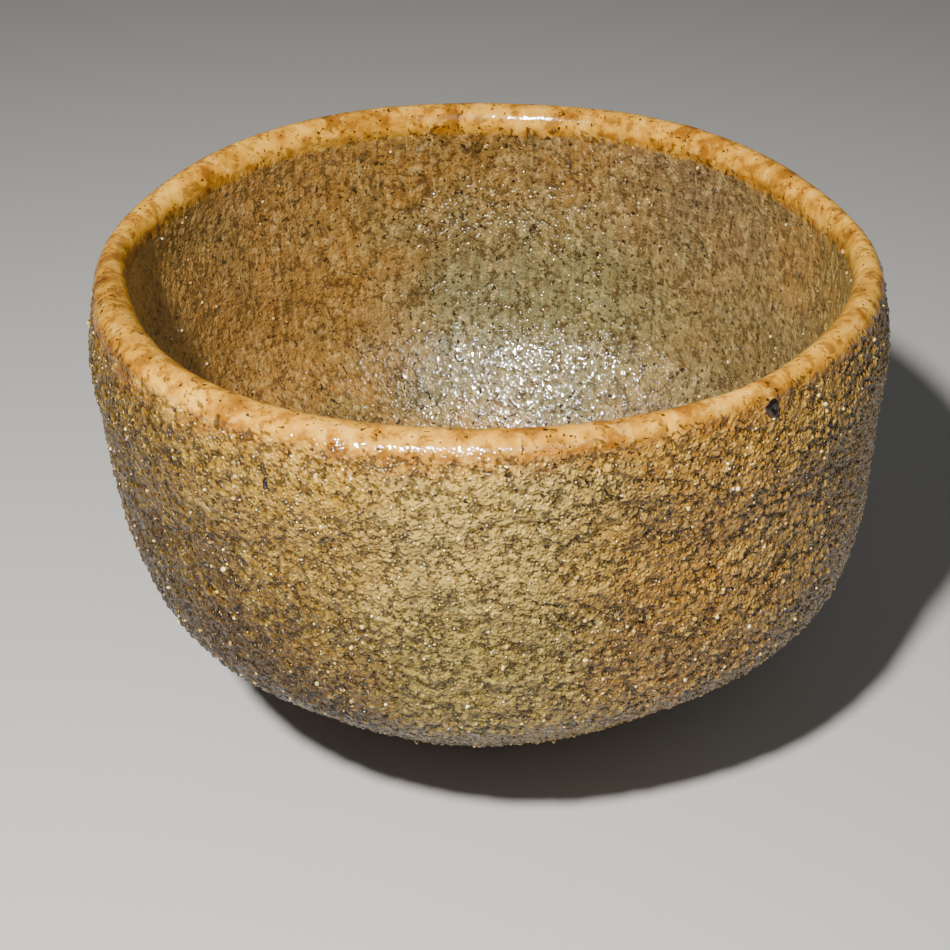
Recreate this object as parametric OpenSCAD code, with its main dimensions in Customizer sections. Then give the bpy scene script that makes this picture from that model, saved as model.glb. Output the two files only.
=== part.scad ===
// Hand-formed tea bowl: a round clay bowl on a low foot, under a thin coat of glaze.
// Millimetres, +Z up. The origin is on the table, under the middle of the foot.

/* [Bowl] */
// Width across the belly, just below the rim
bowl_d = 124; // [112:1:136]
// Height from the table to the rim, on average
bowl_h = 83.6; // [76:0.1:90]
// Thickness of the rounded lip
lip_t = 5.3; // [4.5:0.1:6.5]

/* [Foot] */
// Width of the foot where it meets the table
foot_d = 46; // [42:1:50]
// Height of the foot, up to the underside of the bowl
foot_h = 9.4; // [8:0.1:10]
// Width of the flat ring that the bowl stands on
ring_w = 3.4; // [2.5:0.1:4.5]
// Depth of the recess carved inside the ring
recess_depth = 5.4; // [4.6:0.1:6]

/* [Glaze] */
// Thickness of the glaze on the wall
glaze_t = 0.8; // [0.5:0.1:1.2]
// Thickness of the glaze that pooled in the well
pool_t = 1.7; // [1:0.1:2.4]

/* [Hand-made unevenness] */
// Share of the unevenness that the hands left, where 0 is a true round bowl
unevenness = 1; // [0:0.1:1.2]

/* [Grit and spots] */
// Number of coarse grains that stand proud of the glaze
grain_count = 84; // [40:1:110]
// Radius of the largest grain
grain_r = 0.9; // [0.6:0.1:1.1]
// Radius of the iron spot below the lip
spot_r = 1.3; // [0.8:0.1:1.6]

/* [Hidden] */

belly_r = bowl_d / 2;
body_h = bowl_h - foot_h;
foot_r = foot_d / 2;
foot_flare = 1;
edge_r = 0.8;
corner_r = 1.6;
sectors = 48;
firm_r = 0.65 * belly_r;
low_share = 0.35;
low_spread = 0.2;
lip_root = 0.55;
span_steps = 2;
lip_steps = 5;
golden_angle = 137.508;
grain_facets = 6;
spot_facets = 12;

// What the hands left, as [angle, width in degrees, amount]: five gentle peaks and dips of the
// rim, places where the rim, the waist or the lower wall was pushed out, or in if negative,
// and places where the lip is thicker, or thinner if negative.
rim_rises = [[15, 25, -1.5], [88, 26, -0.8], [165, 20, -1.6], [212, 20, 1.4], [307, 34, 2.3]];
rim_pushes = [[45, 20, 0.2], [137, 18, -0.7], [190, 22, -1], [218, 18, 1.8], [262, 18, -1.2], [333, 16, -0.5]];
waist_pushes = [[15, 35, 0.7], [85, 18, -0.9], [135, 18, -0.8], [185, 25, -0.5], [292, 20, -1.1], [345, 22, 0.3]];
low_pushes = [[320, 45, 1.4], [200, 24, -1.3], [110, 50, -1.3]];
lip_swells = [[8, 16, -1.6], [175, 18, -1], [212, 22, 1], [260, 36, 1.4], [303, 14, -1.6]];

// Outline of the glazed surface as shares of belly_r and body_h. The outer one runs from
// the foot to the lip, and the inner one from the lip down to the middle of the well.
outer_knots = [
    [0.46, 0.015], [0.55, 0.045], [0.68, 0.12], [0.805, 0.225], [0.93, 0.34],
    [0.972, 0.455], [0.985, 0.58], [0.992, 0.74], [1, 0.845], [0.976, 0.96]
];
inner_knots = [
    [0.976 - lip_t / belly_r, 0.955], [0.902, 0.82], [0.882, 0.635], [0.876, 0.5],
    [0.85, 0.39], [0.745, 0.283], [0.62, 0.19], [0.485, 0.125], [0.28, 0.09], [0, 0.082]
];

// Catmull-Rom curve through a list of knots, with steps points to a span.
function curve_point(a, b, c, d, t) =
    0.5 * (2 * b + (c - a) * t + (2 * a - 5 * b + 4 * c - d) * t ^ 2 + (3 * b - a - 3 * c + d) * t ^ 3);
function knot(k, i) =
    i < 0 ? 2 * k[0] - k[1] : i >= len(k) ? 2 * k[len(k) - 1] - k[len(k) - 2] : k[i];
function curve(k, steps) = concat(
    [for (i = [0:len(k) - 2], j = [0:steps - 1])
        curve_point(knot(k, i - 1), k[i], k[i + 1], knot(k, i + 2), j / steps)],
    [k[len(k) - 1]]);
function to_size(shares) = [for (p = shares) [p.x * belly_r, foot_h + p.y * body_h]];

// The three stretches of the surface, each as a list of [radius, height].
outer_line = to_size(curve(outer_knots, span_steps));
inner_line = to_size(curve(inner_knots, span_steps));
lip_start = outer_line[len(outer_line) - 1];
lip_end = inner_line[0];
lip_line = [for (i = [1:lip_steps])
    let (turn = 180 * i / (lip_steps + 1), side = (1 + cos(turn)) / 2)
    [lip_end.x + (lip_start.x - lip_end.x) * side,
     lip_end.y + (lip_start.y - lip_end.y) * side + (bowl_h - lip_start.y) * sin(turn)]];
surface = concat(outer_line, lip_line, inner_line);
last = len(surface) - 1;

// Where one coat of glaze gives way to the next, as places along the surface.
glaze_start = 1;
lip_from = len(outer_line) - 2;
lip_to = len(outer_line) + lip_steps + 1;
pool_from = last - 7;

// The clay lies one coat of glaze inside the surface, and below the glaze line it is bare.
function coat(i) = i <= glaze_start ? 0 : i >= pool_from + 2 ? pool_t : glaze_t;
function inward(i) =
    let (along = surface[min(i + 1, last)] - surface[max(i - 1, 0)]) [-along.y, along.x] / norm(along);
function below(i) = i == last
    ? [0, surface[i].y - coat(i)]
    : surface[i] + inward(i) * coat(i);
clay = [for (i = [0:last]) below(i)];
function part_of(line, from, to) = [for (i = [from:to]) line[i]];
function reversed(line) = [for (i = [len(line) - 1:-1:0]) line[i]];

// Where a point of the true form ends up. Nothing moves at the foot.
function gap(a, b) = abs((a - b + 540) % 360 - 180);
function total(v, i = 0) = i < len(v) ? v[i] + total(v, i + 1) : 0;
function swell(bumps, a) = unevenness * total([for (b = bumps) b[2] * exp(-(gap(a, b[0]) / b[1]) ^ 2)]);
function ramp(t) = let (u = min(1, max(0, t))) u * u * (3 - 2 * u);
function pushed(s, a) =
    s * s * swell(rim_pushes, a)
    + 4 * s * (1 - s) * swell(waist_pushes, a)
    + exp(-((s - low_share) / low_spread) ^ 2) * swell(low_pushes, a);
function thickened(r, s, a) =
    min(1, max(0, (lip_start.x - r) / lip_t)) * ramp((s - lip_root) / (1 - lip_root)) * swell(lip_swells, a);
function uneven(r, z, a) =
    let (
        s = min(1, max(0, (z - foot_h) / body_h)),
        firm = min(1, r / firm_r) * ramp(4 * s),
        out = r + firm * pushed(s, a) - thickened(r, s, a),
        up = z + firm * s * s * swell(rim_rises, a)
    ) [out * cos(a), out * sin(a), up];

// A solid with the given section turned round the axis. A section that starts and ends on
// the axis gets one point at each pole, and any other section closes on itself.
module turned(section) {
    poled = section[0].x == 0;
    rows = poled ? part_of(section, 1, len(section) - 2) : section;
    count = len(rows);
    spans = poled ? count - 2 : count - 1;
    bottom = count * sectors;
    grid = [for (s = [0:sectors - 1], p = rows) uneven(p.x, p.y, 360 * s / sectors)];
    poles = poled ? [[0, 0, section[0].y], [0, 0, section[len(section) - 1].y]] : [];
    function at(s, i) = (s % sectors) * count + i % count;
    wall = [for (s = [0:sectors - 1], i = [0:spans], side = [0, 1])
        side == 0 ? [at(s, i), at(s, i + 1), at(s + 1, i)] : [at(s, i + 1), at(s + 1, i + 1), at(s + 1, i)]];
    caps = poled ? [for (s = [0:sectors - 1], end = [0, 1])
        end == 0 ? [bottom, at(s, 0), at(s + 1, 0)] : [bottom + 1, at(s + 1, count - 1), at(s, count - 1)]] : [];
    polyhedron(concat(grid, poles), concat(wall, caps), convexity = 6);
}

// Place on the outer surface at a height, with an angle round the bowl.
function radius_at(z) = lookup(z, [for (p = outer_line) [p.y, p.x]]);
function on_wall(z, a) = uneven(radius_at(z), z, a);

// The whole bowl above the foot, glaze and all.
module envelope() {
    turned(concat([[0, foot_h], [foot_r + foot_flare, foot_h]], surface));
}

module clay_body() {
    color("#8a6a4c") turned(concat([[0, foot_h], [foot_r + foot_flare, foot_h]], clay));
}

// The foot: a turned disc with a carved recess, standing on a flat ring.
module foot_ring() {
    inner_r = foot_r - ring_w;
    function fillet(cx, cz, r, from, to) =
        [for (i = [0:4]) let (turn = from + (to - from) * i / 4) [cx + r * cos(turn), cz + r * sin(turn)]];
    color("#7c5038") rotate_extrude($fn = 96) polygon(concat(
        [[0, foot_h], [0, recess_depth]],
        fillet(inner_r - edge_r - corner_r, recess_depth - corner_r, corner_r, 90, 0),
        [[inner_r - edge_r, edge_r], [inner_r, 0]],
        fillet(foot_r - edge_r, edge_r, edge_r, -90, 0),
        [[foot_r + foot_flare, foot_h]]));
}

module coat_between(from, to) {
    turned(concat(part_of(surface, from, to), reversed(part_of(clay, from == glaze_start ? from + 1 : from, to))));
}

module outer_glaze() {
    color("#a88c55") coat_between(glaze_start, lip_from);
}

module lip_glaze() {
    color("#d9a56a") coat_between(lip_from, lip_to);
}

module inner_glaze() {
    color("#8f7243") coat_between(lip_to, pool_from);
}

module well_pool() {
    color("#9c9a7c") turned(concat(
        [[0, clay[last].y]],
        reversed(part_of(clay, pool_from, last - 1)),
        part_of(surface, pool_from, last)));
}

// Iron-rich specks that bled through the glaze: one large, and a few small ones.
module iron_spots() {
    spots = [[0.955, 308, 1], [0.88, 242, 0.45], [0.6, 230, 0.4], [0.72, 196, 0.55], [0.6, 20, 0.6], [0.5, 110, 0.6]];
    color("#2c1a14") difference() {
        for (s = spots) {
            translate(on_wall(foot_h + s[0] * body_h, s[1])) sphere(r = spot_r * s[2], $fn = spot_facets);
        }
        envelope();
    }
}

// Coarse grains of feldspar and quartz, spread evenly round the outside by the golden angle.
module grit_grains() {
    lowest = foot_h + 0.09 * body_h;
    highest = foot_h + 0.86 * body_h;
    color("#d8c9a0") difference() {
        for (i = [0:grain_count - 1]) {
            z = lowest + (highest - lowest) * (i + 0.5) / grain_count;
            size = grain_r * (0.65 + 0.35 * sin(i * golden_angle));
            translate(on_wall(z, i * golden_angle)) rotate([40 * i, 25 * i, 0]) sphere(r = size, $fn = grain_facets);
        }
        envelope();
    }
}

clay_body();
foot_ring();
outer_glaze();
lip_glaze();
inner_glaze();
well_pool();
iron_spots();
grit_grains();
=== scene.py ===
"""A hand-formed matcha bowl: sandy stoneware under an ash glaze, on a low carved foot."""

import math

import bpy
import numpy as np
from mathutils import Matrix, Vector


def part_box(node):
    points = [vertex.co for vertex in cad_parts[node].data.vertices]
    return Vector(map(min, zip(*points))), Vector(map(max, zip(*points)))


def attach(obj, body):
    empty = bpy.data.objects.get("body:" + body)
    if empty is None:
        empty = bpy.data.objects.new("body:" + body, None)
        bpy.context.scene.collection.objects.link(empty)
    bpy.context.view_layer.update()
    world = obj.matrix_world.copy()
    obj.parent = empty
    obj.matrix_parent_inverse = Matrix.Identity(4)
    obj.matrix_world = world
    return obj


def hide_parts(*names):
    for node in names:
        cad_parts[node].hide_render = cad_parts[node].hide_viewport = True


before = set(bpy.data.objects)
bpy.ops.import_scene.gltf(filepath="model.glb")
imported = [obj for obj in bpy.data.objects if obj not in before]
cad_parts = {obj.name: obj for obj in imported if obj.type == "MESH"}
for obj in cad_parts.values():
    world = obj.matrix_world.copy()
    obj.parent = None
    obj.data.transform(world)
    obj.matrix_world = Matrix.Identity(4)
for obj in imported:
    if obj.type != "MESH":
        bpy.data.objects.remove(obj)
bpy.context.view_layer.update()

# The boxes of the frame hold the uneven bowl, so the true form's own sizes stand here.
MM = 0.001
BELLY_R = 62 * MM
BOWL_H = 83.6 * MM
LIP_T = 5.3 * MM
GLAZE_T = 0.8 * MM
POOL_T = 1.7 * MM
FOOT_TOP_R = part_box("foot_ring")[1].x
FOOT_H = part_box("foot_ring")[1].z
FOOT_R = FOOT_TOP_R - 1 * MM
RING_W = 3.4 * MM
RECESS_H = 5.4 * MM
BODY_H = BOWL_H - FOOT_H

# How fine the glaze's mesh is: points round its widest rings, distances between its rings
# outside and inside, the least distance between two points of a ring, and the fewest points
# that a ring keeps. The clay and the iron spots have rings of one size.
COLUMNS = 1280
ROW_STEP = 0.28 * MM
INNER_STEP = 0.38 * MM
LEAST_GAP = 0.2 * MM
LEAST_POINTS = 20
CLAY_COLUMNS = 320
SPOT_COLUMNS = 20

# Outline of the glazed surface as shares of the belly's radius and of the height above the
# foot: the outer one from the foot to the lip, the inner one from the lip to the well.
OUTER_KNOTS = [
    (0.46, 0.015), (0.55, 0.045), (0.68, 0.12), (0.805, 0.225), (0.93, 0.34),
    (0.972, 0.455), (0.985, 0.58), (0.992, 0.74), (1.0, 0.845), (0.976, 0.96),
]
INNER_KNOTS = [
    (0.976 - LIP_T / BELLY_R, 0.955), (0.902, 0.82), (0.882, 0.635), (0.876, 0.5),
    (0.85, 0.39), (0.745, 0.283), (0.62, 0.19), (0.485, 0.125), (0.28, 0.09), (0.0, 0.082),
]

# What the hands left, as (angle, width in degrees, amount in mm). 0 is the right, 270 the front.
RIM_RISES = [(15, 25, -1.5), (88, 26, -0.8), (165, 20, -1.6), (212, 20, 1.4), (307, 34, 2.3)]
RIM_PUSHES = [
    (45, 20, 0.2), (137, 18, -0.7), (190, 22, -1.0), (218, 18, 1.8), (262, 18, -1.2), (333, 16, -0.5),
]
WAIST_PUSHES = [
    (15, 35, 0.7), (85, 18, -0.9), (135, 18, -0.8), (185, 25, -0.5), (292, 20, -1.1), (345, 22, 0.3),
]
LOW_PUSHES = [(320, 45, 1.4), (200, 24, -1.3), (110, 50, -1.3)]
LIP_SWELLS = [(8, 16, -1.6), (175, 18, -1.0), (212, 22, 1.0), (260, 36, 1.4), (303, 14, -1.6)]
FOOT_CUTS = [(20, 30, -0.25), (110, 24, -0.15), (190, 34, -0.3), (262, 20, -0.1), (318, 26, -0.25)]
# How far the burnt band of the lip reaches down the wall beyond the rest, and the glaze's edge
# above or below its usual line
BAND_REACHES = [(232, 32, 2.6), (160, 25, 1.2), (300, 14, 0.8), (75, 30, 1.0)]
EDGE_DRIPS = [
    (30, 22, 1.6), (95, 16, -1.2), (150, 26, 1.4), (215, 18, -0.8), (262, 24, 1.8), (318, 20, -1.0),
]
# The pushes fade out inside this radius, so that the foot and the well stay round.
FIRM_R = 0.65 * BELLY_R
# Where the low pushes are strongest and how far they spread, as shares of the height
LOW_SHARE = 0.35
LOW_SPREAD = 0.2
# The lip's swells begin at this share of the height.
LIP_ROOT = 0.55

# Places where a finger pressed the wall: angle, share of the height, width round the wall and
# height in mm, and depth in mm, with a bulge as a negative depth.
DENTS = [
    (281, 0.80, 17, 4.5, 0.6), (266, 0.70, 15, 3.5, -0.5), (250, 0.73, 11, 4.0, 0.45),
    (285, 0.42, 20, 8.0, 0.5), (240, 0.42, 24, 9.0, -0.4), (304, 0.70, 15, 4.0, 0.4),
    (312, 0.52, 16, 5.0, -0.4), (226, 0.66, 16, 4.0, 0.45), (100, 0.66, 18, 5.0, 0.4),
    (45, 0.68, 18, 5.0, -0.4), (140, 0.55, 18, 6.0, -0.4), (165, 0.72, 16, 5.0, 0.4),
]
# Creases of the outer wall: angle, share of the height, length in mm, lean in degrees and
# depth in mm. All are equally narrow.
CREASES = [
    (274, 0.84, 11, 2, 0.6), (283, 0.80, 9, 22, 0.5), (250, 0.62, 12, -20, 0.5),
    (240, 0.70, 10, -24, 0.5), (292, 0.60, 10, 28, 0.5), (301, 0.66, 9, 34, 0.45),
    (259, 0.52, 9, -8, 0.4), (229, 0.60, 9, -32, 0.45), (312, 0.60, 9, 40, 0.5),
    (268, 0.46, 9, 6, 0.35), (286, 0.48, 7, -30, 0.35), (305, 0.44, 9, 18, 0.4),
    (60, 0.6, 10, 12, 0.5), (85, 0.75, 12, -8, 0.5), (120, 0.7, 9, -20, 0.5), (150, 0.5, 10, 25, 0.4),
]
CREASE_WIDTH_MM = 0.8
# Iron spots: share of the height, angle and share of the largest one's radius.
SPOTS = [
    (0.955, 308, 1.0), (0.88, 242, 0.45), (0.6, 230, 0.4), (0.72, 196, 0.55), (0.6, 20, 0.6),
    (0.5, 110, 0.6),
]
SPOT_R = 1.3 * MM


# ---------------------------------------------------------------- helpers

def linear(hex_code):
    """An sRGB hex colour as linear RGBA."""
    parts = [int(hex_code[i:i + 2], 16) / 255 for i in (1, 3, 5)]
    return tuple(c / 12.92 if c <= 0.04045 else ((c + 0.055) / 1.055) ** 2.4 for c in parts) + (1.0,)


def add(tree, kind, inputs=None, output=0, **settings):
    """Adds a node with its settings, gives each input a value or a link, and returns one output.
    A Map Range node's inputs are 0 the value, 1 and 2 the range it comes from, and 3 and 4 the
    range it goes to. A Mix node's are 0 the factor, and 6 and 7 the colours."""
    made = tree.nodes.new(kind)
    for name, value in settings.items():
        setattr(made, name, value)
    for key, value in (inputs or {}).items():
        if isinstance(value, bpy.types.NodeSocket):
            tree.links.new(value, made.inputs[key])
        else:
            made.inputs[key].default_value = value
    return made.outputs[output] if made.outputs else None


def smooth(low, high, value):
    """0 below low, 1 above high, and a smooth step between them."""
    t = np.clip((value - low) / (high - low), 0, 1)
    return t * t * (3 - 2 * t)


def hump(offset, width):
    """A rounded hump, 1 at no offset."""
    return np.exp(-(offset / width) ** 2)


def turn_gap(angle, centre):
    """Degrees from centre to angle the short way round."""
    return (angle - centre + 180) % 360 - 180


def swell(bumps, angle):
    """The sum of the bumps at an angle, in mm."""
    return sum(amount * hump(turn_gap(angle, centre), width) for centre, width, amount in bumps)


def spline(knots, steps=40):
    """Catmull-Rom curve through the knots."""
    k = np.array(knots, float)
    k = np.vstack([2 * k[0] - k[1], k, 2 * k[-1] - k[-2]])
    t = np.arange(steps)[:, None] / steps
    spans = [
        0.5 * (2 * b + (c - a) * t + (2 * a - 5 * b + 4 * c - d) * t ** 2
               + (3 * b - a - 3 * c + d) * t ** 3)
        for a, b, c, d in zip(k, k[1:], k[2:], k[3:])
    ]
    return np.vstack(spans + [k[-2:-1]])


def lengths_along(line):
    """The length from a line's start to each of its points."""
    return np.r_[0, np.cumsum(np.hypot(*np.diff(line, axis=0).T))]


# ---------------------------------------------------------------- shape of the bowl

def true_outline():
    """The glazed surface's outline from the foot over the lip to the well, and the lip's two ends."""
    size = np.array([BELLY_R, BODY_H])
    outer = spline(OUTER_KNOTS) * size + [0, FOOT_H]
    inner = spline(INNER_KNOTS) * size + [0, FOOT_H]
    start, end = outer[-1], inner[0]
    turn = np.radians(np.linspace(0, 180, 60))[1:-1]
    side = (1 + np.cos(turn)) / 2
    lip = end + (start - end) * side[:, None]
    lip[:, 1] += (BOWL_H - start[1]) * np.sin(turn)
    line = np.vstack([outer, lip, inner])
    along = lengths_along(line)
    return line, along, along[len(outer) - 1], along[len(outer) + len(lip)]


OUTLINE, ALONG, LIP_START, LIP_END = true_outline()
LIP_R = np.interp(LIP_START, ALONG, OUTLINE[:, 0])
LIP_TOP = (LIP_START + LIP_END) / 2
TANGENT = np.gradient(OUTLINE, ALONG, axis=0)
POOL_START = ALONG[-1] - 0.66 * BELLY_R - 3 * MM


def place(radius, height, angle, outside=1.0):
    """Where the point at that radius, height and angle of the true form ends up on the uneven bowl."""
    share = np.clip((height - FOOT_H) / BODY_H, 0, 1)
    firm = np.minimum(1, radius / FIRM_R) * smooth(0, 0.25, share)
    push = share ** 2 * swell(RIM_PUSHES, angle)
    push = push + 4 * share * (1 - share) * swell(WAIST_PUSHES, angle)
    push = push + hump(share - LOW_SHARE, LOW_SPREAD) * swell(LOW_PUSHES, angle)
    for centre, at, wide, tall, depth in DENTS:
        across = np.radians(turn_gap(angle, centre)) * BELLY_R / MM
        push = push - depth * hump(across, wide) * hump((share - at) * BODY_H / MM, tall)
    for centre, at, length, lean, depth in CREASES:
        across = np.radians(turn_gap(angle, centre)) * BELLY_R / MM
        up = (share - at) * BODY_H / MM
        c, s = math.cos(math.radians(lean)), math.sin(math.radians(lean))
        groove = hump(across * c + up * s, length / 2) * hump(up * c - across * s, CREASE_WIDTH_MM)
        push = push - depth * groove * outside
    within = np.clip((LIP_R - radius) / LIP_T, 0, 1) * smooth(LIP_ROOT, 1, share)
    out = radius + (firm * push - within * swell(LIP_SWELLS, angle)) * MM
    up = height + firm * share ** 2 * swell(RIM_RISES, angle) * MM
    a = np.radians(angle)
    return np.stack([out * np.cos(a), out * np.sin(a), up], -1)


def on_outline(along, sink, angle):
    """The point of the uneven bowl at a length along its outline, sunk below the surface."""
    radius, height, run, climb = (np.interp(along, ALONG, v) for v in (*OUTLINE.T, *TANGENT.T))
    return place(np.abs(radius - climb * sink), height + run * sink, angle, along < LIP_TOP)


def ring_points(counts):
    """Ring number and angle of each point, for rings with those counts of points."""
    ring = np.repeat(np.arange(len(counts)), counts)
    first = np.r_[0, np.cumsum(counts)][ring]
    return ring, (np.arange(len(ring)) - first) * 360 / np.asarray(counts)[ring]


def ring_faces(counts):
    """Triangles between rings. A ring has as many points as the next, or twice or half as
    many, and a ring of one point is a pole. They face out where rings run up the outside."""
    first = np.r_[0, np.cumsum(counts)]
    faces = []
    for i, (a, b) in enumerate(zip(counts, counts[1:])):
        n = max(a, b)
        j = np.arange(n)
        low, low_next = first[i] + j * a // n, first[i] + (j + 1) * a // n % a
        top, top_next = first[i + 1] + j * b // n, first[i + 1] + (j + 1) * b // n % b
        faces.append(np.stack([low, low_next, top], -1)[low != low_next])
        faces.append(np.stack([low_next, top_next, top], -1)[top != top_next])
    return np.concatenate(faces)


def ring_count(radius):
    """How many points a ring of that radius takes so that they are not too close."""
    count = COLUMNS
    while count > LEAST_POINTS and 2 * math.pi * radius / count < LEAST_GAP:
        count //= 2
    return count


def mesh_of(name, points, faces, attributes=None, normals=None):
    """A smooth mesh from arrays, with float attributes on its points."""
    mesh = bpy.data.meshes.new(name)
    faces = np.asarray(faces, np.int32)
    mesh.vertices.add(len(points))
    mesh.vertices.foreach_set("co", np.asarray(points, np.float32).ravel())
    mesh.loops.add(faces.size)
    mesh.loops.foreach_set("vertex_index", faces.ravel())
    mesh.polygons.add(len(faces))
    mesh.polygons.foreach_set("loop_start", np.arange(0, faces.size, faces.shape[1], dtype=np.int32))
    mesh.update(calc_edges=True)
    mesh.shade_smooth()
    for key, values in (attributes or {}).items():
        made = mesh.attributes.new(key, "FLOAT", "POINT")
        made.data.foreach_set("value", np.asarray(values, np.float32).ravel())
    if normals is not None:
        mesh.normals_split_custom_set_from_vertices(np.asarray(normals, np.float32))
    return mesh


def shown(name, mesh, material=None):
    """An object at the origin that holds a finished mesh."""
    piece = bpy.data.objects.new(name, mesh)
    bpy.context.scene.collection.objects.link(piece)
    if material:
        mesh.materials.clear()
        mesh.materials.append(material)
    return piece


def stands_for(piece, node):
    """Hides the CAD node that a piece replaces and hangs the piece from the root body."""
    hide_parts(node)
    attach(piece, "root")


# ---------------------------------------------------------------- relief of the fired surface

def tree_with(name, sizes):
    """A geometry tree with a geometry input and output, and named number inputs."""
    tree = bpy.data.node_groups.new(name, "GeometryNodeTree")
    tree.interface.new_socket("Geometry", in_out="INPUT", socket_type="NodeSocketGeometry")
    tree.interface.new_socket("Geometry", in_out="OUTPUT", socket_type="NodeSocketGeometry")
    for key, value in sizes.items():
        kind = "NodeSocketInt" if isinstance(value, int) else "NodeSocketFloat"
        tree.interface.new_socket(key, in_out="INPUT", socket_type=kind).default_value = value
    return tree, add(tree, "NodeGroupInput").node.outputs


def grown(obj, tree, sizes):
    """The plain mesh that a geometry tree makes of an object."""
    modifier = obj.modifiers.new(tree.name, "NODES")
    modifier.node_group = tree
    for item in tree.interface.items_tree:
        if item.in_out == "INPUT" and item.name in sizes:
            modifier[item.identifier] = sizes[item.name]
    result = bpy.data.meshes.new_from_object(obj.evaluated_get(bpy.context.evaluated_depsgraph_get()))
    obj.modifiers.remove(modifier)
    return result


# Sizes of the sand under the glaze, and of the bare sandy clay
RELIEF = {
    "Lump height": 0.3 * MM, "Lump width": 5 * MM,
    "Grain height": 0.46 * MM, "Grain width": 1.3 * MM,
    "Sand height": 0.32 * MM, "Sand width": 0.8 * MM,
    "Crack depth": 0.3 * MM, "Crack spacing": 4.2 * MM,
}
CLAY_RELIEF = {
    "Lump height": 0.1 * MM, "Lump width": 4 * MM,
    "Grain height": 0.14 * MM, "Grain width": 1.3 * MM,
    "Sand height": 0.1 * MM, "Sand width": 0.7 * MM,
    "Crack depth": 0.12 * MM, "Crack spacing": 5 * MM,
}


def relief_tree():
    """Moves each point along its normal by lumps, grains of two sizes and cracks, and keeps
    how high it stands as the attribute relief: 0 in a pit, and 1 on a grain."""
    tree, sizes = tree_with("fired relief", RELIEF)
    position = add(tree, "GeometryNodeInputPosition")
    sandy = add(tree, "GeometryNodeInputNamedAttribute", {"Name": "sandy"}, data_type="FLOAT")

    # Domes of two sizes. Each cell's own chance makes some grains tall and others nearly flat.
    height = 0.0
    relief = 0.0
    for kind, smoothness, share in (("Grain", 0.2, 0.6), ("Sand", 0.12, 0.55)):
        scale = add(tree, "ShaderNodeMath", {0: 1.0, 1: sizes[kind + " width"]}, operation="DIVIDE")
        cells = add(tree, "ShaderNodeTexVoronoi", {
            "Vector": position, "Scale": scale, "Smoothness": smoothness}, feature="SMOOTH_F1")
        dome = add(tree, "ShaderNodeMapRange", {
            0: cells, 1: 0.75, 2: 0.05}, interpolation_type="SMOOTHSTEP")
        chance = add(tree, "ShaderNodeSeparateXYZ", {0: cells.node.outputs["Color"]})
        size = add(tree, "ShaderNodeMapRange", {0: chance, 1: 0.15, 2: 0.8, 3: 0.25, 4: 1.0})
        grain = add(tree, "ShaderNodeMath", {0: dome, 1: size}, operation="MULTIPLY")
        height = add(tree, "ShaderNodeMath", {
            0: grain, 1: sizes[kind + " height"], 2: height}, operation="MULTIPLY_ADD")
        relief = add(tree, "ShaderNodeMath", {0: grain, 1: share, 2: relief}, operation="MULTIPLY_ADD")

    # Cracks run where a noise passes through its middle value.
    spacing = add(tree, "ShaderNodeMath", {0: 1.0, 1: sizes["Crack spacing"]}, operation="DIVIDE")
    veins = add(tree, "ShaderNodeTexNoise", {
        "Vector": position, "Scale": spacing, "Detail": 3.0, "Roughness": 0.6})
    offset = add(tree, "ShaderNodeMath", {0: veins, 1: 0.5}, operation="SUBTRACT")
    offset = add(tree, "ShaderNodeMath", {0: offset}, operation="ABSOLUTE")
    crack = add(tree, "ShaderNodeMapRange", {
        0: offset, 1: 0.028, 2: 0.004}, interpolation_type="SMOOTHSTEP")
    depth = add(tree, "ShaderNodeMath", {0: crack, 1: sizes["Crack depth"]}, operation="MULTIPLY")
    height = add(tree, "ShaderNodeMath", {0: height, 1: depth}, operation="SUBTRACT")
    relief = add(tree, "ShaderNodeMath", {0: crack, 1: -0.5, 2: relief}, operation="MULTIPLY_ADD")

    # The mean height comes off, so that sandy and smooth places stand level.
    height = add(tree, "ShaderNodeMath", {
        0: sizes["Grain height"], 1: -0.4, 2: height}, operation="MULTIPLY_ADD")
    rough = add(tree, "ShaderNodeMath", {0: height, 1: sandy}, operation="MULTIPLY")

    # Broad lumps, also where there is no sand.
    broad = add(tree, "ShaderNodeMath", {0: 1.0, 1: sizes["Lump width"]}, operation="DIVIDE")
    lump = add(tree, "ShaderNodeTexNoise", {"Vector": position, "Scale": broad, "Detail": 2.0})
    lump = add(tree, "ShaderNodeMath", {0: lump, 1: 0.5}, operation="SUBTRACT")
    rough = add(tree, "ShaderNodeMath", {
        0: lump, 1: sizes["Lump height"], 2: rough}, operation="MULTIPLY_ADD")

    normal = add(tree, "GeometryNodeInputNormal")
    offset = add(tree, "ShaderNodeVectorMath", {0: normal, "Scale": rough}, operation="SCALE")
    kept = add(tree, "GeometryNodeStoreNamedAttribute", {
        "Geometry": sizes["Geometry"], "Name": "relief", "Value": relief}, data_type="FLOAT")
    moved = add(tree, "GeometryNodeSetPosition", {"Geometry": kept, "Offset": offset})
    add(tree, "NodeGroupOutput", {0: moved})
    return tree


def fired(name, points, faces, attributes, tree, sizes):
    """Points, normals and attributes of a mesh after firing gives it its relief."""
    draft = shown(name, mesh_of(name, points, faces, attributes))
    done = grown(draft, tree, sizes)
    bpy.data.objects.remove(draft)
    count = len(done.vertices)
    moved = np.empty(count * 3, np.float32)
    normals = np.empty(count * 3, np.float32)
    relief = np.empty(count, np.float32)
    done.vertices.foreach_get("co", moved)
    done.vertices.foreach_get("normal", normals)
    done.attributes["relief"].data.foreach_get("value", relief)
    return moved.reshape(-1, 3), normals.reshape(-1, 3), {**attributes, "relief": relief}


# The rounded edge of the glaze ends this far inside the clay.
EDGE_BITE = 0.15 * MM
# The glaze's edge wanders only on the first stretch above the foot.
DRIP_REACH = 14 * MM
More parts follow.
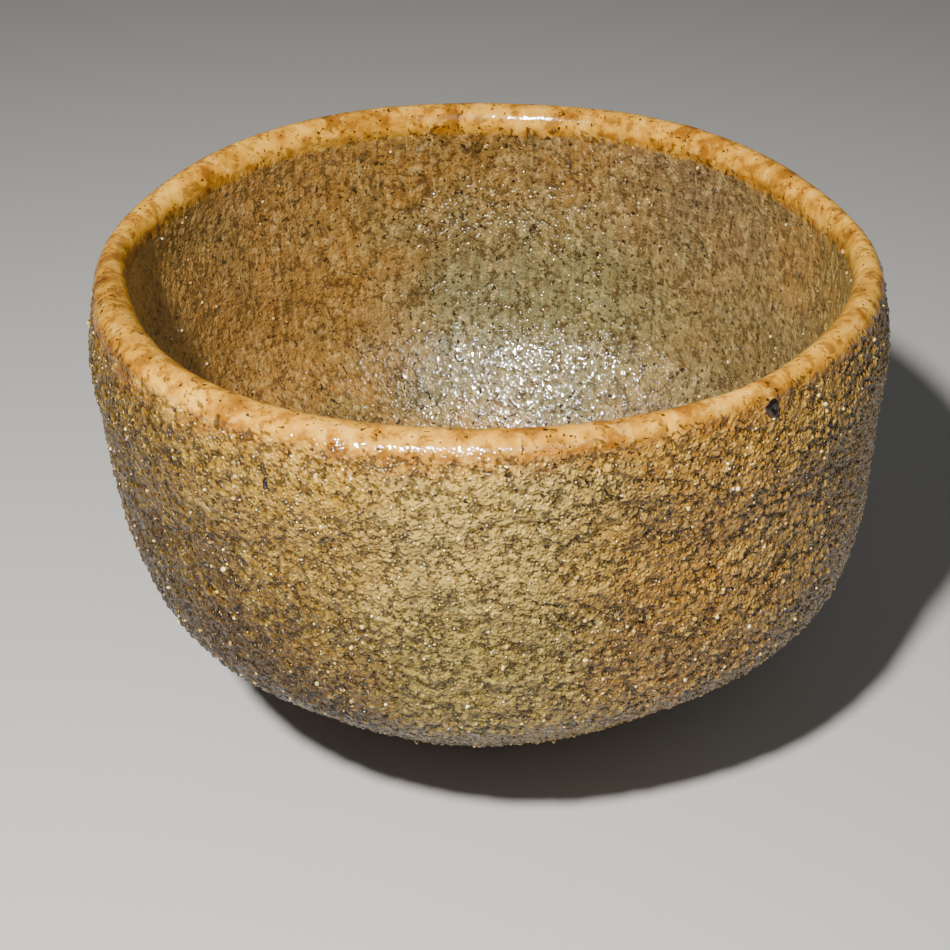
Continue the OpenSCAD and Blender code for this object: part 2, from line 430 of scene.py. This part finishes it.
# How sandy the inside is beside the outside, and how much sand the lip and the pool hide
INNER_GRIT = 0.45
LIP_COVER = 0.3
CREST_COVER = 0.86
POOL_COVER = 0.86


def skin_rings():
    """Length along the outline, depth below the surface and count of points of each ring.
    The first few round off the edge of the glaze above the foot, and the last is the pole."""
    turn = np.radians(np.linspace(0, 90, 5))
    edge = GLAZE_T * (1 - np.cos(turn))
    edge_sink = (GLAZE_T + EDGE_BITE) * (1 - np.sin(turn))
    wall = np.arange(GLAZE_T + ROW_STEP, LIP_END, ROW_STEP)
    inner = np.linspace(LIP_END, ALONG[-1], round((ALONG[-1] - LIP_END) / INNER_STEP))
    along = np.concatenate([edge, wall, inner])
    sink = np.zeros(len(along))
    sink[:len(edge)] = edge_sink
    radius = np.interp(along, ALONG, OUTLINE[:, 0])
    counts = [ring_count(r) for r in radius]
    counts[-1] = 1
    return along, sink, counts


def glazed_skin(tree):
    """The whole glazed surface: points, normals, attributes, faces, and how far along the
    outline each face lies. Its attributes say how much of the lip's burnt band, of its crest and
    of the sand is at each point."""
    along, sink, counts = skin_rings()
    ring, angle = ring_points(counts)
    along = along[ring]
    drip = swell(EDGE_DRIPS, angle) * MM * smooth(DRIP_REACH, 0, along)
    drip = np.maximum(drip, -along / 2) * (along < LIP_START)
    points = on_outline(along + drip, sink[ring], angle)
    outside = smooth(LIP_TOP + 2 * MM, LIP_TOP - 2 * MM, along)
    reach = swell(BAND_REACHES, angle) * MM

    # The burnt band covers the whole lip and fades down both walls. The crest is its top.
    past_start = along - LIP_START
    past_end = along - LIP_END
    lip = smooth(-4.5 * MM - reach, 2.4 * MM, past_start) * smooth(3 * MM + 0.5 * reach, 0, past_end)
    crest = smooth(-0.4 * MM, 2.6 * MM, past_start) * smooth(1.6 * MM, -1 * MM, past_end)

    # The lower wall is the sandiest, and the glaze hides the sand on the lip and in the pool.
    grit = outside * (0.85 + 0.25 * smooth(45 * MM, 20 * MM, along)) + INNER_GRIT * (1 - outside)
    pooled = smooth(POOL_START - 6 * MM, POOL_START + 8 * MM, along)
    sandy = grit * (1 - LIP_COVER * lip) * (1 - CREST_COVER * crest) * (1 - POOL_COVER * pooled)

    faces = ring_faces(counts)
    attributes = {"lip": lip, "crest": crest, "sandy": sandy}
    points, normals, attributes = fired("skin", points, faces, attributes, tree, RELIEF)
    return points, normals, attributes, faces, along[faces[:, 0]]


def cut_from(name, skin, chosen, material):
    """A piece of the skin with the chosen faces."""
    points, normals, attributes, faces, _ = skin
    used, index = np.unique(faces[chosen], return_inverse=True)
    values = {key: value[used] for key, value in attributes.items()}
    mesh = mesh_of(name, points[used], index.reshape(-1, 3), values, normals[used])
    return shown(name, mesh, material)


# ---------------------------------------------------------------- materials

def material_tree(name):
    """A new material and its empty tree."""
    material = bpy.data.materials.new(name)
    material.use_nodes = True
    material.node_tree.nodes.clear()
    return material, material.node_tree


def tinted(tree, colour, layers, blend="MIX"):
    """Lays tints over a colour, each where its signal goes from low to high, up to its most."""
    for signal, low, high, most, tint in layers:
        amount = add(tree, "ShaderNodeMapRange", {
            0: signal, 1: low, 2: high, 3: 0.0, 4: most}, interpolation_type="SMOOTHSTEP")
        colour = add(tree, "ShaderNodeMix", {
            0: amount, 6: colour, 7: linear(tint)}, 2, data_type="RGBA", blend_type=blend)
    return colour


def patches(tree, where, spots, inside=False):
    """Layers of colour round places on the wall, with edges that wander by some millimetres."""
    wander = add(tree, "ShaderNodeTexNoise", {
        "Vector": where, "Scale": 1 / (9 * MM), "Detail": 4.0}, "Color")
    drift = add(tree, "ShaderNodeVectorMath", {0: wander, 1: (0.5, 0.5, 0.5)}, operation="SUBTRACT")
    drift = add(tree, "ShaderNodeVectorMath", {0: drift, "Scale": 26 * MM}, operation="SCALE")
    loose = add(tree, "ShaderNodeVectorMath", {0: where, 1: drift})
    knots = INNER_KNOTS[::-1] if inside else OUTER_KNOTS
    layers = []
    for angle, share, radius, soft, most, tint in spots:
        r = np.interp(share, [k[1] for k in knots], [k[0] for k in knots]) * BELLY_R
        a = math.radians(angle)
        centre = (r * math.cos(a), r * math.sin(a), FOOT_H + share * BODY_H)
        away = add(tree, "ShaderNodeVectorMath", {0: loose, 1: centre}, "Value", operation="DISTANCE")
        layers.append((away, (radius + soft) * MM, (radius - soft) * MM, most, tint))
    return layers


def glaze(name, palette, spots, inside):
    """Ash glaze over sandy stoneware: clear brown glass that lies dark in the pits and thin and
    pale over the grains, with iron specks, and burnt orange where it ran thin over the lip."""
    material, tree = material_tree(name)
    where = add(tree, "ShaderNodeTexCoord", None, "Object")
    lip, crest, sandy, relief = (
        add(tree, "ShaderNodeAttribute", None, "Fac", attribute_name=key)
        for key in ("lip", "crest", "sandy", "relief"))

    # Broad clouds, then the places with a colour laid on; on the outer wall some of these are painted
    # shade.
    cloud = add(tree, "ShaderNodeTexNoise", {"Vector": where, "Scale": 1 / (13 * MM), "Detail": 5.0})
    flecks = add(tree, "ShaderNodeTexNoise", {
        "Vector": where, "Scale": 1 / (2.4 * MM), "Detail": 4.0, "Roughness": 0.65})
    colour = tinted(tree, linear(palette["base"]), [(cloud, 0.4, 0.62, 1.0, palette["second"])]
                    + patches(tree, where, spots, inside)
                    + [(flecks, 0.52, 0.66, 0.5, palette["brown"]),
                       (flecks, 0.46, 0.34, 0.4, palette["straw"])])

    # Runs of glaze down the wall. They show only inside, where the glaze is thicker.
    if inside:
        lanes = add(tree, "ShaderNodeVectorMath", {
            0: where, 1: (1 / (0.9 * MM), 1 / (0.9 * MM), 1 / (7 * MM))}, operation="MULTIPLY")
        runs = add(tree, "ShaderNodeTexNoise", {"Vector": lanes, "Scale": 1.0, "Detail": 3.0})
        colour = tinted(tree, colour, [
            (runs, 0.52, 0.68, 0.5, palette["brown"]), (runs, 0.45, 0.3, 0.3, palette["straw"])])

    # The burnt lip, brightest on its crest, comes before the grains that show through it.
    flush = add(tree, "ShaderNodeTexNoise", {"Vector": where, "Scale": 1 / (6 * MM), "Detail": 4.0})
    burnt = tinted(tree, linear("#95600F"), [
        (crest, 0.3, 1.0, 0.7, "#BE8620"),
        (flush, 0.47, 0.66, 0.6, "#CC9833"), (flush, 0.5, 0.34, 0.9, "#764609"),
        (flecks, 0.5, 0.62, 0.7, "#6E400C"), (flecks, 0.46, 0.36, 0.35, "#D8AE57")])
    ragged = add(tree, "ShaderNodeTexNoise", {"Vector": where, "Scale": 1 / (2.5 * MM), "Detail": 5.0})
    ragged = add(tree, "ShaderNodeMath", {0: ragged, 1: 1.5, 2: -0.75}, operation="MULTIPLY_ADD")
    band = add(tree, "ShaderNodeMath", {0: lip, 1: ragged})
    band = add(tree, "ShaderNodeMapRange", {0: band, 1: 0.2, 2: 1.05}, interpolation_type="SMOOTHSTEP")
    colour = add(tree, "ShaderNodeMix", {0: band, 6: colour, 7: burnt}, 2, data_type="RGBA")

    # Sand: dark glass in the pits of the relief and straw on its grains, and the same again for
    # a finer grain that only colour shows. Both are weak where the glaze covers the sand.
    fine = add(tree, "ShaderNodeTexNoise", {
        "Vector": where, "Scale": 1 / (0.42 * MM), "Detail": 2.0, "Roughness": 0.7})
    bare = add(tree, "ShaderNodeMapRange", {0: sandy, 1: 0.05, 2: 0.6, 3: 0.3, 4: 1.0})
    depth = add(tree, "ShaderNodeMath", {0: relief, 1: 0.25}, operation="SUBTRACT")
    depth = add(tree, "ShaderNodeMath", {0: depth, 1: bare}, operation="MULTIPLY")
    tone = add(tree, "ShaderNodeMath", {0: fine, 1: 0.5}, operation="SUBTRACT")
    tone = add(tree, "ShaderNodeMath", {0: tone, 1: bare}, operation="MULTIPLY")
    colour = tinted(tree, colour, [
        (depth, -0.08, -0.24, 0.66 if inside else 0.75, palette["pit"]),
        (depth, 0.12, 0.5, 0.5, palette["straw"]),
        (tone, -0.09, -0.2, 0.75, palette["pit"]), (tone, 0.05, 0.22, 0.6, palette["straw"])])
    # Painted shade over the left and lower left of the outer wall
    if not inside:
        colour = tinted(tree, colour, patches(tree, where, PAINTED_SHADE), "MULTIPLY")

    # Iron specks of no regular size, more of them in some places than in others.
    specks = add(tree, "ShaderNodeTexNoise", {
        "Vector": where, "Scale": 1 / (1.1 * MM), "Detail": 2.0, "Roughness": 0.7})
    crowd = add(tree, "ShaderNodeMath", {0: cloud, 1: 0.16, 2: specks}, operation="MULTIPLY_ADD")
    rare = 0.7 if inside else 0.73
    colour = tinted(tree, colour, [(crowd, rare, rare + 0.03, 0.9, palette["speck"])])

    # Fine beads under the glass break up its gloss, and the glass itself is a little uneven.
    dust = add(tree, "ShaderNodeTexNoise", {"Vector": where, "Scale": 1 / (0.35 * MM), "Detail": 3.0})
    sand = add(tree, "ShaderNodeTexVoronoi", {"Vector": where, "Scale": 1 / (0.55 * MM)}, "Distance")
    beads = add(tree, "ShaderNodeMapRange", {0: sand, 1: 0.7, 2: 0.05}, interpolation_type="SMOOTHSTEP")
    strength = add(tree, "ShaderNodeMapRange", {0: sandy, 1: 0.1, 2: 0.9, 3: 0.06, 4: 1.0})
    bump = add(tree, "ShaderNodeBump", {"Strength": strength, "Distance": 0.3 * MM, "Height": beads})
    bump = add(tree, "ShaderNodeBump", {
        "Strength": 0.25, "Distance": 0.06 * MM, "Height": dust, "Normal": bump})
    roughness = add(tree, "ShaderNodeMapRange", {0: dust, 1: 0.3, 2: 0.7, 3: 0.06, 4: 0.15})
    shader = add(tree, "ShaderNodeBsdfPrincipled", {
        "Base Color": colour, "Roughness": roughness, "IOR": 1.5, "Normal": bump,
        "Coat Weight": 0.7 if inside else 0.0, "Coat Roughness": 0.05, "Coat IOR": 1.5})
    add(tree, "ShaderNodeOutputMaterial", {"Surface": shader})
    return material


# Places with a colour laid on: angle, share of the height, radius and softness in mm, the most
# that the colour covers, and the colour. Four dark ones on the outer wall are painted shade.
OUTER_TINTS_AND_SHADE = [
    (268, 0.62, 16, 16, 0.45, "#6F6A35"), (268, 0.33, 20, 18, 0.5, "#66602F"),
    (238, 0.5, 20, 14, 0.7, "#6A4D0C"), (300, 0.86, 14, 14, 0.4, "#925E1E"),
    (298, 0.5, 13, 16, 0.3, "#8C511F"), (228, 0.88, 16, 12, 0.5, "#8A651C"),
    (268, 0.88, 14, 10, 0.45, "#AB9250"), (326, 0.75, 20, 16, 0.45, "#AA7F38"),
    # Painted shade: these four darken the wall low down and at the left.
    (320, 0.3, 22, 16, 0.35, "#4C2F0E"), (205, 0.6, 30, 18, 0.9, "#4B350C"),
    (232, 0.2, 28, 16, 0.9, "#3A2807"), (262, 0.08, 20, 12, 0.6, "#463412"),
    (90, 0.5, 26, 14, 0.6, "#6F5A28"), (30, 0.65, 22, 14, 0.5, "#7F4F1C"),
    (140, 0.7, 20, 14, 0.5, "#70501E"),
]
INNER_SPOTS = [
    (82, 0.42, 24, 16, 0.85, "#68684B"), (60, 0.45, 16, 14, 0.6, "#6A6441"),
    (75, 0.62, 13, 12, 0.5, "#605B36"), (150, 0.6, 26, 22, 0.5, "#8C6230"),
    (90, 0.92, 20, 12, 0.5, "#6E4D22"), (45, 0.9, 18, 13, 0.7, "#5C4D38"),
    (30, 0.5, 22, 16, 0.6, "#625838"), (85, 0.13, 14, 10, 0.8, "#9A6C26"),
    (270, 0.6, 30, 14, 0.5, "#87652F"),
]
# Painted shade that darkens the left and lower left of the outer wall, grains and all: the same
# values, and the colour is what the glaze is multiplied by
PAINTED_SHADE = [
    (203, 0.6, 32, 18, 1.0, "#C4C2B8"), (225, 0.2, 26, 16, 1.0, "#C8BA84"),
    (240, 0.45, 14, 14, 1.0, "#D2CBB4"),
]
OUTER_PALETTE = {
    "base": "#876319", "second": "#70541C", "brown": "#55350F",
    "straw": "#BD9C4C", "pit": "#241606", "speck": "#120B07",
}
INNER_PALETTE = {
    "base": "#835B22", "second": "#6B5426", "brown": "#4E3315",
    "straw": "#B0945A", "pit": "#2E1E0B", "speck": "#1A120C",
}


def clay(name, base, dark):
    """Bare stoneware: matt and sandy, toasted red-brown where the glaze stops."""
    material, tree = material_tree(name)
    where = add(tree, "ShaderNodeTexCoord", None, "Object")
    relief = add(tree, "ShaderNodeAttribute", None, "Fac", attribute_name="relief")
    cloud = add(tree, "ShaderNodeTexNoise", {"Vector": where, "Scale": 1 / (6 * MM), "Detail": 5.0})
    grit = add(tree, "ShaderNodeTexVoronoi", {"Vector": where, "Scale": 1 / (0.6 * MM)}, "Distance")
    shade = add(tree, "ShaderNodeSeparateColor", {0: grit.node.outputs["Color"]})
    colour = tinted(tree, linear(base), [
        (cloud, 0.38, 0.62, 1.0, dark), (relief, 0.3, 0.05, 0.6, "#3A2114"),
        (shade, 0.8, 1.0, 0.6, "#BF9468"), (shade, 0.12, 0.0, 0.6, "#402718")])
    bump = add(tree, "ShaderNodeBump", {
        "Strength": 0.5, "Distance": 0.12 * MM, "Height": grit}, invert=True)
    shader = add(tree, "ShaderNodeBsdfPrincipled", {
        "Base Color": colour, "Roughness": 0.85, "IOR": 1.45, "Normal": bump})
    add(tree, "ShaderNodeOutputMaterial", {"Surface": shader})
    return material


def melted_grain():
    """Feldspar and quartz that melted to beads of milky glass: glossy, straw to white."""
    material, tree = material_tree("melted feldspar beads")
    where = add(tree, "ShaderNodeTexCoord", None, "Object")
    kind = add(tree, "ShaderNodeTexNoise", {"Vector": where, "Scale": 1 / (1.6 * MM), "Detail": 1.0})
    colour = tinted(tree, linear("#A98646"), [
        (kind, 0.45, 0.6, 1.0, "#D2BB82"), (kind, 0.62, 0.72, 0.9, "#E9E2CB"),
        (kind, 0.42, 0.3, 0.8, "#5F4420")])
    dust = add(tree, "ShaderNodeTexNoise", {"Vector": where, "Scale": 1 / (0.3 * MM), "Detail": 2.0})
    bump = add(tree, "ShaderNodeBump", {"Strength": 0.3, "Distance": 0.05 * MM, "Height": dust})
    shader = add(tree, "ShaderNodeBsdfPrincipled", {
        "Base Color": colour, "Roughness": 0.06, "IOR": 1.55, "Normal": bump})
    add(tree, "ShaderNodeOutputMaterial", {"Surface": shader})
    return material


def iron_glass():
    """Iron that bled into the glaze: black glass, rust-brown at its edge."""
    material, tree = material_tree("iron-black glass")
    where = add(tree, "ShaderNodeTexCoord", None, "Object")
    rust = add(tree, "ShaderNodeTexNoise", {"Vector": where, "Scale": 1 / (0.8 * MM), "Detail": 3.0})
    colour = tinted(tree, linear("#120C0A"), [(rust, 0.5, 0.7, 0.8, "#3A1E10")])
    bump = add(tree, "ShaderNodeBump", {"Strength": 0.4, "Distance": 0.08 * MM, "Height": rust})
    shader = add(tree, "ShaderNodeBsdfPrincipled", {
        "Base Color": colour, "Roughness": 0.14, "IOR": 1.55, "Normal": bump})
    add(tree, "ShaderNodeOutputMaterial", {"Surface": shader})
    return material


# ---------------------------------------------------------------- the bare clay

def turned_piece(name, line, shape, tree, material):
    """A closed clay solid with that section, shaped round the axis and fired. The section starts
    and ends on the axis, and what stands on the table is ground flat."""
    counts = [1] + [CLAY_COLUMNS] * (len(line) - 2) + [1]
    ring, angle = ring_points(counts)
    points = shape(line[ring], angle)
    faces = ring_faces(counts)
    attributes = {"sandy": smooth(0, 2 * MM, line[ring][:, 0])}
    points, normals, attributes = fired(name, points, faces, attributes, tree, CLAY_RELIEF)
    points[:, 2] = np.maximum(points[:, 2], 0)
    return shown(name, mesh_of(name, points, faces, attributes, normals), material)


def evenly(line, step):
    """The same line with points about step apart."""
    along = lengths_along(line)
    wanted = np.linspace(0, along[-1], max(2, round(along[-1] / step)) + 1)
    return np.column_stack([np.interp(wanted, along, line[:, i]) for i in (0, 1)])


def body_section():
    """The clay body's section: flat under the foot, bare up to the glaze, and a coat inside it."""
    along = np.linspace(0, ALONG[-1], 150)
    sink = GLAZE_T * smooth(0, 3 * MM, along)
    sink = sink + (POOL_T - GLAZE_T) * smooth(POOL_START, ALONG[-1], along)
    radius, height, run, climb = (np.interp(along, ALONG, v) for v in (*OUTLINE.T, *TANGENT.T))
    coated = np.column_stack([np.maximum(radius - climb * sink, 0), height + run * sink])
    coated[-1, 0] = 0
    under = evenly(np.array([(0, FOOT_H), (FOOT_TOP_R, FOOT_H), coated[0]]), 0.5 * MM)
    return np.vstack([under[:-1], coated])


# The trimming knife's marks: the nipple it leaves in the middle, the depth and the spacing of
# its spiral in the recess, and of the rings round the outside
NIPPLE_H = 0.9 * MM
SPIRAL_DEPTH = 0.14 * MM
SPIRAL_STEP = 1.9 * MM
LATHE_DEPTH = 0.06 * MM
LATHE_STEP = 1.3 * MM


def foot_section():
    """The carved foot's section: the recess with its small nipple, the ring and the outer wall."""
    inner = FOOT_R - RING_W
    edge = 0.8 * MM
    corner = 1.8 * MM
    turn = np.radians(np.linspace(0, 90, 9))
    nipple = [(x * MM, RECESS_H - NIPPLE_H * float(hump(x, 2.2))) for x in np.arange(0, 6, 0.4)]
    vault = np.column_stack([
        inner - edge - corner * (1 - np.sin(turn)), RECESS_H - corner * (1 - np.cos(turn))])
    lip = np.column_stack([inner - edge * np.cos(turn), edge * (1 - np.sin(turn))])
    rim = np.column_stack([FOOT_R - edge * (1 - np.sin(turn)), edge * (1 - np.cos(turn))])
    line = evenly(np.vstack([nipple, vault, lip, rim, [(FOOT_TOP_R, FOOT_H)]]), 0.4 * MM)
    top = evenly(np.array([(FOOT_TOP_R, FOOT_H), (0, FOOT_H)]), 4 * MM)
    return np.vstack([line, top[1:]])


def carved(line, angle):
    """Foot points with the marks of the trimming knife: a spiral, and flats round the outside."""
    radius, height = line.T
    turns = angle / 360
    wall = FOOT_R - RING_W
    spiral = SPIRAL_DEPTH * np.sin(2 * math.pi * (radius / SPIRAL_STEP + turns))
    recess = smooth(1.5 * MM, 4 * MM, radius) * smooth(wall, wall - 3 * MM, radius)
    recess = recess * (height < FOOT_H - 1 * MM)
    flats = swell(FOOT_CUTS, angle) * MM * smooth(FOOT_R - 1.5 * MM, FOOT_R, radius)
    lathe = LATHE_DEPTH * np.sin(2 * math.pi * (height / LATHE_STEP + turns))
    lathe = lathe * smooth(FOOT_R - 0.5 * MM, FOOT_R, radius)
    out = radius + (flats + lathe) * smooth(0, 1.5 * MM, height)
    a = np.radians(angle)
    return np.stack([out * np.cos(a), out * np.sin(a), height + spiral * recess], -1)


# ---------------------------------------------------------------- spots and grains

def surface_frame(share, angle):
    """A point on the outer wall with two directions along it and the outward normal."""
    along = np.interp(FOOT_H + share * BODY_H, OUTLINE[ALONG < LIP_START, 1], ALONG[ALONG < LIP_START])
    step = 0.5 * MM
    here = on_outline(along, 0, angle)
    up = on_outline(along + step, 0, angle) - here
    across = on_outline(along, 0, angle + 0.5) - here
    up = up / np.linalg.norm(up)
    across = across / np.linalg.norm(across)
    return here, across, up, np.cross(across, up)


# Half the section of a burst blister, from its rim to the pit in its middle, as shares of the
# blister's radius: distance from the middle and height above the glaze
BLISTER = np.array([
    (1.0, -0.25), (0.98, 0.0), (0.88, 0.18), (0.7, 0.3), (0.5, 0.34), (0.36, 0.3), (0.24, 0.12),
    (0.12, 0.02), (0, 0)])


def blisters(material):
    """Iron spots: low black domes with a burst pit, sunk a little into the glaze."""
    rng = np.random.default_rng(7)
    counts = [SPOT_COLUMNS] * (len(BLISTER) - 1) + [1]
    ring, angle = ring_points(counts)
    turn = np.radians(angle)
    faces = ring_faces(counts)
    points, all_faces = [], []
    for number, (share, at, size) in enumerate(SPOTS):
        here, across, up, normal = surface_frame(share, at)
        wobble = 1 + 0.16 * np.sin(2 * turn + rng.uniform(0, 6))
        wobble = wobble + 0.1 * np.sin(3 * turn + rng.uniform(0, 6))
        reach = SPOT_R * size * BLISTER[ring, 0] * wobble
        x = reach * np.cos(turn)
        y = 1.15 * reach * np.sin(turn)
        rise = SPOT_R * size * BLISTER[ring, 1]
        all_faces.append(faces + number * len(ring))
        points.append(here + x[:, None] * across + y[:, None] * up + rise[:, None] * normal)
    mesh = mesh_of("iron_blisters", np.concatenate(points), np.concatenate(all_faces))
    return shown("iron_blisters", mesh, material)


# How many grains stand proud where the wall is sandiest, and their radii
GRAINS = {
    "Grains per square metre": 0.1e6, "Seed": 11, "Smallest": 0.12 * MM, "Largest": 0.4 * MM}


def grain_tree(material):
    """Scatters half-sunk beads over a surface, as many as its attribute gritty asks for."""
    tree, sizes = tree_with("melted grains", GRAINS)
    gritty = add(tree, "GeometryNodeInputNamedAttribute", {"Name": "gritty"}, data_type="FLOAT")
    density = add(tree, "ShaderNodeMath", {
        0: gritty, 1: sizes["Grains per square metre"]}, operation="MULTIPLY")
    points = add(tree, "GeometryNodeDistributePointsOnFaces", {
        "Mesh": sizes["Geometry"], "Density": density, "Seed": sizes["Seed"]}, "Points")
    bead = add(tree, "GeometryNodeMeshUVSphere", {"Segments": 7, "Rings": 4, "Radius": 1.0}, "Mesh")
    bead = add(tree, "GeometryNodeSetShadeSmooth", {"Geometry": bead})

    # Small grains are the most common, each is a little oblong, and each is turned its own way.
    chance = add(tree, "FunctionNodeRandomValue", {
        "Min": 0.0, "Max": 1.0, "Seed": 3}, "Value", data_type="FLOAT")
    chance = add(tree, "ShaderNodeMath", {0: chance, 1: 2.4}, operation="POWER")
    size = add(tree, "ShaderNodeMapRange", {
        0: chance, 1: 0.0, 2: 1.0, 3: sizes["Smallest"], 4: sizes["Largest"]})
    shape = add(tree, "FunctionNodeRandomValue", {
        0: (0.75, 0.75, 0.6), 1: (1.25, 1.25, 0.9), "Seed": 4}, "Value", data_type="FLOAT_VECTOR")
    scale = add(tree, "ShaderNodeVectorMath", {0: shape, "Scale": size}, operation="SCALE")
    turn = add(tree, "FunctionNodeRandomValue", {
        0: (0.0, 0.0, 0.0), 1: (6.28, 6.28, 6.28), "Seed": 5}, "Value", data_type="FLOAT_VECTOR")

    placed = add(tree, "GeometryNodeInstanceOnPoints", {
        "Points": points, "Instance": bead, "Rotation": turn, "Scale": scale})
    real = add(tree, "GeometryNodeRealizeInstances", {"Geometry": placed})
    coloured = add(tree, "GeometryNodeSetMaterial", {"Geometry": real, "Material": material})
    add(tree, "NodeGroupOutput", {0: coloured})
    return tree


def grains(skin, material):
    """The coarse grains that stand proud of the glaze, on the outer wall and a few inside. The
    square of sandy leaves almost none where the glaze covers the sand."""
    *_, along = skin
    draft = cut_from("grain_bed", skin, (along < LIP_START) | (along > LIP_END), None)
    bed = draft.data
    sandy = np.empty(len(bed.vertices), np.float32)
    bed.attributes["sandy"].data.foreach_get("value", sandy)
    bed.attributes.new("gritty", "FLOAT", "POINT").data.foreach_set("value", np.maximum(sandy, 0) ** 2)
    mesh = grown(draft, grain_tree(material), GRAINS)
    bpy.data.objects.remove(draft)
    return shown("feldspar_grains", mesh, material)


# ---------------------------------------------------------------- pieces

firing = relief_tree()
outer_glaze = glaze("ash glaze on sandy stoneware with painted shade", OUTER_PALETTE, OUTER_TINTS_AND_SHADE, False)
inner_glaze = glaze("ash glaze inside the bowl", INNER_PALETTE, INNER_SPOTS, True)
bare_clay = clay("bare toasted stoneware", "#8A5230", "#693C24")
foot_clay = clay("carved stoneware foot", "#7C4628", "#5C321F")

# The glaze is cut into its pieces: the walls in quarters, the lip and the pool in the well.
skin = glazed_skin(firing)
skin_points, _, _, skin_faces, face_along = skin
first_corner = skin_points[skin_faces[:, 0]]
face_angle = np.degrees(np.arctan2(first_corner[:, 1], first_corner[:, 0]))
lip_from = LIP_START - 1.5 * MM
lip_to = LIP_END + 1.5 * MM
on_outer_wall = face_along < lip_from
on_inner_wall = (face_along >= lip_to) & (face_along < POOL_START)
for centre, side in ((0, "right"), (90, "back"), (180, "left"), (270, "front")):
    gap = turn_gap(face_angle, centre)
    quarter = (gap >= -45) & (gap < 45)
    wall = cut_from(f"outer_wall_{side}", skin, quarter & on_outer_wall, outer_glaze)
    stands_for(wall, "outer_glaze")
    wall = cut_from(f"inner_wall_{side}", skin, quarter & on_inner_wall, inner_glaze)
    stands_for(wall, "inner_glaze")
lip = cut_from("rolled_lip", skin, (face_along >= lip_from) & (face_along < lip_to), outer_glaze)
stands_for(lip, "lip_glaze")
well = cut_from("well_glass", skin, face_along >= POOL_START, inner_glaze)
stands_for(well, "well_pool")

body = turned_piece(
    "stoneware_body", body_section(), lambda line, angle: place(*line.T, angle), firing, bare_clay)
stands_for(body, "clay_body")
foot = turned_piece("carved_foot", foot_section(), carved, firing, foot_clay)
stands_for(foot, "foot_ring")
stands_for(blisters(iron_glass()), "iron_spots")
stands_for(grains(skin, melted_grain()), "grit_grains")


# ---------------------------------------------------------------- floor, lights and camera

# The key lamp is small and near, so that the glaze glints. The fill is broad and far.
KEY = {"position": (-0.095, -0.25, 0.345), "size": 0.026, "power": 5.3}
FILL = {"position": (0.1, -0.8, 0.8), "size": 0.6, "power": 1.5}
SKY_COLOUR = "#C9CDD2"
SKY_STRENGTH = 0.16
FLOOR_HALF = 3.0
# The camera looks at the front from above, level from left to right.
CAMERA_AT = (-0.0017, -0.2416, 0.2006)
CAMERA_DIP = 33.57
CAMERA_LENS = 65.7


def floor_piece():
    """A plain pale floor that isn't part of the bowl."""
    material, tree = material_tree("plain pale floor")
    shader = add(tree, "ShaderNodeBsdfPrincipled", {"Base Color": linear("#A6A39D"), "Roughness": 0.7})
    add(tree, "ShaderNodeOutputMaterial", {"Surface": shader})
    half = FLOOR_HALF
    corners = [(-half, -half, 0), (half, -half, 0), (half, half, 0), (-half, half, 0)]
    shown("floor", mesh_of("floor", corners, [(0, 1, 2, 3)]), material)


def lamp(name, position, size, power):
    """A round white lamp that faces the middle of the bowl."""
    light = bpy.data.lights.new(name, "AREA")
    light.shape = "DISK"
    light.size = size
    light.energy = power
    obj = bpy.data.objects.new(name, light)
    obj.location = position
    towards = Vector((0, 0, BOWL_H / 2)) - Vector(position)
    obj.rotation_euler = towards.to_track_quat("-Z", "Y").to_euler()
    bpy.context.scene.collection.objects.link(obj)


floor_piece()
world = bpy.data.worlds.new("studio")
world.use_nodes = True
sky = world.node_tree.nodes["Background"].inputs
sky["Color"].default_value = linear(SKY_COLOUR)
sky["Strength"].default_value = SKY_STRENGTH
bpy.context.scene.world = world
lamp("key", **KEY)
lamp("fill", **FILL)

camera = bpy.data.objects.new("camera", bpy.data.cameras.new("camera"))
camera.data.sensor_width = 36
camera.data.lens = CAMERA_LENS
camera.data.clip_start = 0.01
camera.location = CAMERA_AT
camera.rotation_euler = (math.radians(90 - CAMERA_DIP), 0, 0)
bpy.context.scene.collection.objects.link(camera)
bpy.context.scene.camera = camera
